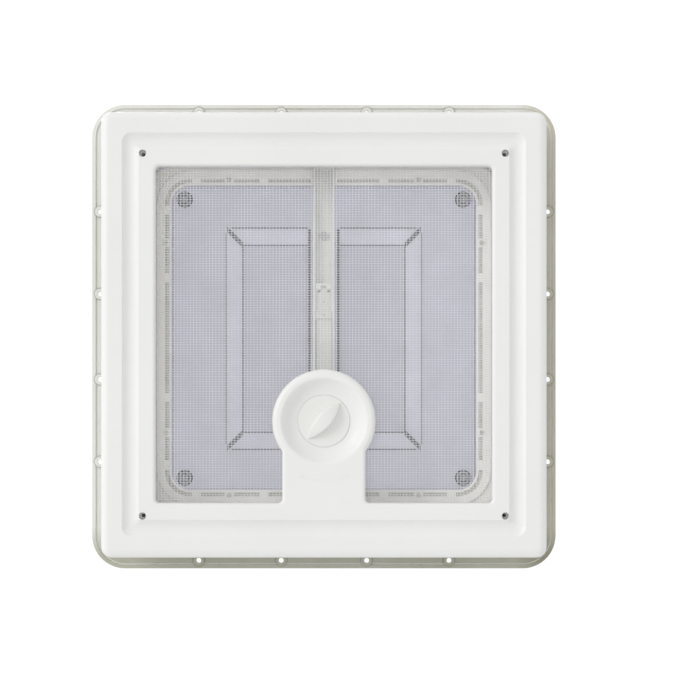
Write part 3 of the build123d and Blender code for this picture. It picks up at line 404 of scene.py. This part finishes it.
WHITE = lin(239, 239, 237)
M = {
    "garnish": plastic("garnish_white_abs", WHITE, 0.40, 0.008, 1100, 0.00002, wear=0.25, spec=0.35, dirt=0.05),
    "knob": plastic("knob_white_abs", lin(236, 236, 233), 0.34, 0.008, 1200, 0.00002, wear=0.3, spec=0.4, dirt=0.04),
    "flange": plastic("flange_weathered_asa", lin(238, 238, 234), 0.48, 0.02, 700, 0.00005, wear=0.35, spec=0.35, warm=(1.0, 1.0, 0.97), dirt=0.22, tint=underside_painted_shadow),
    "frame": plastic("lid_frame_beige", lin(246, 244, 240), 0.45, 0.012, 800, 0.00004, wear=0.3, spec=0.35, dirt=0.12, tint=groove_painted_shade),
    "rail": plastic("rail_grey_beige", lin(222, 222, 220), 0.42, 0.015, 800, 0.00004, wear=0.3, spec=0.35, dirt=0.12),
    "retainer": plastic("retainer_grey", lin(196, 196, 192), 0.5, 0.02, 800, 0.00004, wear=0.2, dirt=0.12),
    "gearbox": plastic("gearbox_acetal", lin(206, 206, 200), 0.42, 0.02, 700, 0.00004, wear=0.25, dirt=0.18),
    "armplastic": plastic("arm_glass_filled_nylon", lin(214, 214, 211), 0.44, 0.015, 500, 0.00004, wear=0.3, spec=0.4, dirt=0.08, tint=arm_tint),
    "shoe": plastic("shoe_nylon", lin(225, 225, 222), 0.5, 0.02, 800, 0.00004, wear=0.4, dirt=0.1),
    "plug": plug_mat("plug_smoke"),
    "screwcap": plastic("screw_grey", lin(178, 178, 182), 0.42, 0.02, 900, 0.00003, wear=0.3, dirt=0.1, tint=cap_tint),
    "smoke": smoke("lid_smoke_translucent"),
    "rubber": rubber("seal_grey_tpe"),
    "zinc": metal("zinc_plated", (0.60, 0.60, 0.57), 0.34, (1.0, 1.0, 1.0), tint=(0.42, 0.42, 0.37)),
    "steel": metal("turned_steel", (0.62, 0.62, 0.62), 0.26, (1.0, 30.0, 30.0)),
    "arm": metal("arm_zinc_steel", (0.60, 0.60, 0.58), 0.36, (1.0, 26.0, 1.0), tint=(0.44, 0.44, 0.40)),
    "brass": metal("wheel_brass", (0.78, 0.57, 0.26), 0.3, (1.0, 1.0, 1.0), tint=(0.50, 0.36, 0.16)),
}

USE = {
    "roof_flange": "flange", "weather_seal": "rubber", "inner_garnish": "garnish", "screen_retainer": "retainer",
    "operator_bracket": "zinc", "bracket_screws": "zinc", "gearbox_base": "gearbox", "gearbox_cover": "gearbox",
    "gearbox_screws": "zinc", "cover_screws": "zinc", "wheel_axle": "steel", "hinge_pins": "steel", "knob": "knob",
    "worm_shaft": "steel", "shaft_clip": "steel", "worm_wheel": "brass", "lift_arm": "armplastic", "arm_rivets": "steel",
    "slider_shoe": "shoe", "shoe_pin": "steel", "lid_dome": "smoke", "lid_frame": "frame", "lid_frame_screws": "zinc",
    "lid_rail": "rail", "rail_screws": "screwcap", "corner_plugs": "plug", "hinge_leaves": "frame", "hinge_screws": "zinc",
    "flyscreen_mesh": "retainer",
}
for name, obj in nodes.items():
    obj.data.materials.clear()
    obj.data.materials.append(M[USE[name]])


# ------------------------------------------------------------------ mesh helpers
def mesh_obj(name, verts, faces, mat, smooth=True):
    me = bpy.data.meshes.new(name)
    me.from_pydata(verts, [], faces)
    me.update()
    if smooth:
        me.polygons.foreach_set("use_smooth", [True] * len(me.polygons))
    me.materials.append(mat)
    o = bpy.data.objects.new(name, me)
    scene.collection.objects.link(o)
    return o


# ------------------------------------------------------------------ woven flyscreen
s = Net("flyscreen_yarn")
tone = s.noise(35.0, 4.0, 0.6)
col = s.mixc(s.ramp(tone, 0.35, 0.7), lin(238, 238, 239), lin(224, 224, 223))
twist = s.noise(900.0, 2.0, 0.5)
nrm = s.bump(twist, 0.3, 0.00008)
M["yarn"] = s.done(s.bsdf(col, s.ramp(twist, 0.3, 0.7, 0.45, 0.65), nrm, spec=0.3).outputs["BSDF"])

lo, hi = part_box("flyscreen_mesh")
SC = (lo + hi) / 2
HALF = (hi.x - lo.x) / 2 - 0.0006
ZM = SC.z
glo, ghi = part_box("knob")
KY = (glo.y + ghi.y) / 2
CUT_R, TONG = 46.9 * MM, 36.8 * MM
PX, PY = 3.02 * MM, 2.335 * MM
WIRE = 0.27 * MM
AMP = 0.15 * MM


def intervals(kind, c):
    """free spans of a strand: kind 'v' runs along Y at x=c, 'h' along X at y=c"""
    if kind == "v":
        a = abs(c)
        if a < CUT_R:
            h = math.sqrt(CUT_R ** 2 - a * a)
            spans = [(-HALF, KY - h)]
            if a > TONG:
                spans.append((KY + h, HALF))
            return spans
        return [(-HALF, HALF)]
    inner = 0.0
    dy = c - KY
    if abs(dy) < CUT_R:
        inner = math.sqrt(CUT_R ** 2 - dy * dy)
    if c > KY and c < 0.1555:
        inner = max(inner, TONG)
    if inner > 0:
        return [(-HALF, -inner), (inner, HALF)]
    return [(-HALF, HALF)]


def strands(kind):
    verts, faces = [], []
    pitch, cross = (PX, PY) if kind == "v" else (PY, PX)
    count = int(HALF / pitch)
    for i in range(-count, count + 1):
        c = i * pitch
        for a, b in intervals(kind, c):
            k0, k1 = math.ceil(a / cross), math.floor(b / cross)
            stations = [(a, 0.0)] + [(k * cross, AMP * (1 if (i + k) % 2 else -1) * (1 if kind == "v" else -1)) for k in range(k0, k1 + 1)] + [(b, 0.0)]
            base = len(verts)
            for t, dz in stations:
                for u, w in ((1, 0), (0, 1), (-1, 0), (0, -1)):
                    p = (c + u * WIRE, t, ZM + dz + w * WIRE * 0.8)
                    verts.append(p if kind == "v" else (t, c + u * WIRE, ZM + dz + w * WIRE * 0.8))
            n = len(stations)
            for j in range(n - 1):
                for q in range(4):
                    f = (base + j * 4 + q, base + j * 4 + (q + 1) % 4, base + (j + 1) * 4 + (q + 1) % 4, base + (j + 1) * 4 + q)
                    faces.append(f if kind == "v" else f[::-1])
            caps = (tuple(base + q for q in range(4)), tuple(base + (n - 1) * 4 + q for q in range(4)))
            if kind == "v":
                faces.append(caps[0][::-1]); faces.append(caps[1])
            else:
                faces.append(caps[0]); faces.append(caps[1][::-1])
    return verts, faces


warp = mesh_obj("flyscreen_warp", *strands("v"), M["yarn"])
weft = mesh_obj("flyscreen_weft", *strands("h"), M["yarn"])
for o in (warp, weft):
    o.visible_shadow = False
    o.visible_diffuse = False
    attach(o, "base")
    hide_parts("flyscreen_mesh")


# ------------------------------------------------------------------ generic turn arrows on the tongue
def relief(name, outline, z0, z1, mat, body, inset=0.00012):
    """low raised shape with a chamfered edge, from a flat outline (z1 is the outer face, below z0)"""
    n = len(outline)
    cx = sum(p[0] for p in outline) / n
    cy = sum(p[1] for p in outline) / n
    bm = bmesh.new()
    rings = []
    for z, k in ((z0, 0.0), (z1 + 0.00008, 0.0), (z1, inset)):
        ring = []
        for i, (x, y) in enumerate(outline):
            xa, ya = outline[i - 1]
            xb, yb = outline[(i + 1) % n]
            tx, ty = xb - xa, yb - ya
            ln = math.hypot(tx, ty) or 1.0
            ring.append(bm.verts.new((x - ty / ln * k, y + tx / ln * k, z)))
        rings.append(ring)
    for a, b in zip(rings, rings[1:]):
        for i in range(n):
            bm.faces.new((a[i], a[(i + 1) % n], b[(i + 1) % n], b[i]))
    bm.faces.new(rings[0][::-1])
    bm.faces.new(rings[-1])
    bmesh.ops.recalc_face_normals(bm, faces=bm.faces)
    me = bpy.data.meshes.new(name)
    bm.to_mesh(me)
    bm.free()
    me.materials.append(mat)
    o = bpy.data.objects.new(name, me)
    scene.collection.objects.link(o)
    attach(o, body)
    return o


def arc_arrow(cx, cy, r, w, a0, a1, head, steps=18):
    """curved arrow outline, counter-clockwise, head at a1"""
    pts = []
    for i in range(steps + 1):
        a = math.radians(a0 + (a1 - a0) * i / steps)
        pts.append((cx + (r + w / 2) * math.cos(a), cy + (r + w / 2) * math.sin(a)))
    a = math.radians(a1)
    da = math.radians(math.copysign(head, a1 - a0))
    pts.append((cx + (r + w * 1.3) * math.cos(a), cy + (r + w * 1.3) * math.sin(a)))
    pts.append((cx + r * math.cos(a + da), cy + r * math.sin(a + da)))
    pts.append((cx + (r - w * 1.3) * math.cos(a), cy + (r - w * 1.3) * math.sin(a)))
    for i in range(steps, -1, -1):
        b = math.radians(a0 + (a1 - a0) * i / steps)
        pts.append((cx + (r - w / 2) * math.cos(b), cy + (r - w / 2) * math.sin(b)))
    return pts


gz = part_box("inner_garnish")[0].z
tone_mark = M["garnish"]
relief("turn_arrow_open", arc_arrow(0, KY, 0.0555, 0.0016, 96, 112, 2.4), gz + 0.0003, gz - 0.0003, tone_mark, "base")
relief("turn_arrow_close", arc_arrow(0, KY, 0.0555, 0.0016, 84, 68, 2.4), gz + 0.0003, gz - 0.0003, tone_mark, "base")

# ------------------------------------------------------------------ floor, light, camera
f = Net("floor_pale")
fd = f.n("ShaderNodeBsdfDiffuse")
f.link(f.mixc(f.ramp(f.noise(3.0), 0.3, 0.7), lin(236, 236, 236), lin(240, 240, 240)), fd.inputs["Color"])
ft = f.n("ShaderNodeBsdfTransparent")
lp = f.n("ShaderNodeLightPath")
front = f.math("SUBTRACT", 1.0, f.geo.outputs["Backfacing"])
show = f.math("MULTIPLY", front, lp.outputs["Is Camera Ray"])
fm = f.n("ShaderNodeMixShader")
f.link(show, fm.inputs[0])
f.link(ft.outputs[0], fm.inputs[1])
f.link(fd.outputs[0], fm.inputs[2])
floor_mat = f.done(fm.outputs[0])
fz = CAD_BOX[0][2] - 0.001
floor = mesh_obj("floor", [(-6, -6, fz), (6, -6, fz), (6, 6, fz), (-6, 6, fz)], [(0, 1, 2, 3)], floor_mat, smooth=False)

world = bpy.data.worlds.new("studio")
scene.world = world
world.use_nodes = True
wt = world.node_tree
wt.nodes.clear()
wo = wt.nodes.new("ShaderNodeOutputWorld")
bg_cam = wt.nodes.new("ShaderNodeBackground")
bg_cam.inputs[0].default_value = (1, 1, 1, 1)
bg_cam.inputs[1].default_value = 1.05
bg_low = wt.nodes.new("ShaderNodeBackground")
bg_low.inputs[0].default_value = (1.0, 1.0, 1.0, 1)
bg_low.inputs[1].default_value = 0.615
bg_up = wt.nodes.new("ShaderNodeBackground")
bg_up.inputs[0].default_value = (1.0, 1.0, 1.0, 1)
bg_up.inputs[1].default_value = 0.68
tc = wt.nodes.new("ShaderNodeTexCoord")
sx = wt.nodes.new("ShaderNodeSeparateXYZ")
wt.links.new(tc.outputs["Generated"], sx.inputs[0])
mr = wt.nodes.new("ShaderNodeMapRange")
mr.inputs["From Min"].default_value = -0.25
mr.inputs["From Max"].default_value = 0.25
wt.links.new(sx.outputs["Z"], mr.inputs["Value"])
m0 = wt.nodes.new("ShaderNodeMixShader")
wt.links.new(mr.outputs[0], m0.inputs[0])
wt.links.new(bg_low.outputs[0], m0.inputs[1])
wt.links.new(bg_up.outputs[0], m0.inputs[2])
# brighter band round the horizon, so that slopes and edges read softly
bg_mid = wt.nodes.new("ShaderNodeBackground")
bg_mid.inputs[0].default_value = (1.0, 1.0, 1.0, 1)
bg_mid.inputs[1].default_value = 1.0
ab = wt.nodes.new("ShaderNodeMath")
ab.operation = "ABSOLUTE"
wt.links.new(sx.outputs["Z"], ab.inputs[0])
mh = wt.nodes.new("ShaderNodeMapRange")
mh.inputs["From Min"].default_value = 0.62
mh.inputs["From Max"].default_value = 0.12
wt.links.new(ab.outputs[0], mh.inputs["Value"])
m1 = wt.nodes.new("ShaderNodeMixShader")
wt.links.new(mh.outputs[0], m1.inputs[0])
wt.links.new(m0.outputs[0], m1.inputs[1])
wt.links.new(bg_mid.outputs[0], m1.inputs[2])
wl = wt.nodes.new("ShaderNodeLightPath")
m2 = wt.nodes.new("ShaderNodeMixShader")
wt.links.new(wl.outputs["Is Camera Ray"], m2.inputs[0])
wt.links.new(m1.outputs[0], m2.inputs[1])
wt.links.new(bg_cam.outputs[0], m2.inputs[2])
wt.links.new(m2.outputs[0], wo.inputs[0])


def sun(name, toward, energy, angle):
    """parallel soft light that travels along the vector toward"""
    d = bpy.data.lights.new(name, "SUN")
    d.energy = energy
    d.angle = math.radians(angle)
    o = bpy.data.objects.new(name, d)
    o.rotation_mode = "QUATERNION"
    o.rotation_quaternion = Vector(toward).normalized().to_track_quat("-Z", "Y")
    scene.collection.objects.link(o)
    return o


cam_d = bpy.data.cameras.new("camera")
cam_d.lens = 81.57
cam_d.sensor_width = 36.0
cam_d.shift_x = 0.0373
cam_d.shift_y = 0.0929
cam_d.clip_start, cam_d.clip_end = 0.05, 50
cam = bpy.data.objects.new("camera", cam_d)
cam.location = (0.0, 0.0761, -1.540)
cam.rotation_euler = (math.pi, 0, 0)
scene.collection.objects.link(cam)
scene.camera = cam

# the key light travels with the camera: from its upper left, so every view is lit alike
key = sun("key_camera", (0.80, -0.34, -0.62), 0.94, 24)
key.parent = cam
fill = sun("fill_camera", (0.05, 0.05, -1.0), 0.36, 50)
fill.parent = cam
sun("sky_above", (0.35, 0.45, -0.90), 1.0, 30)

bpy.context.view_layer.update()
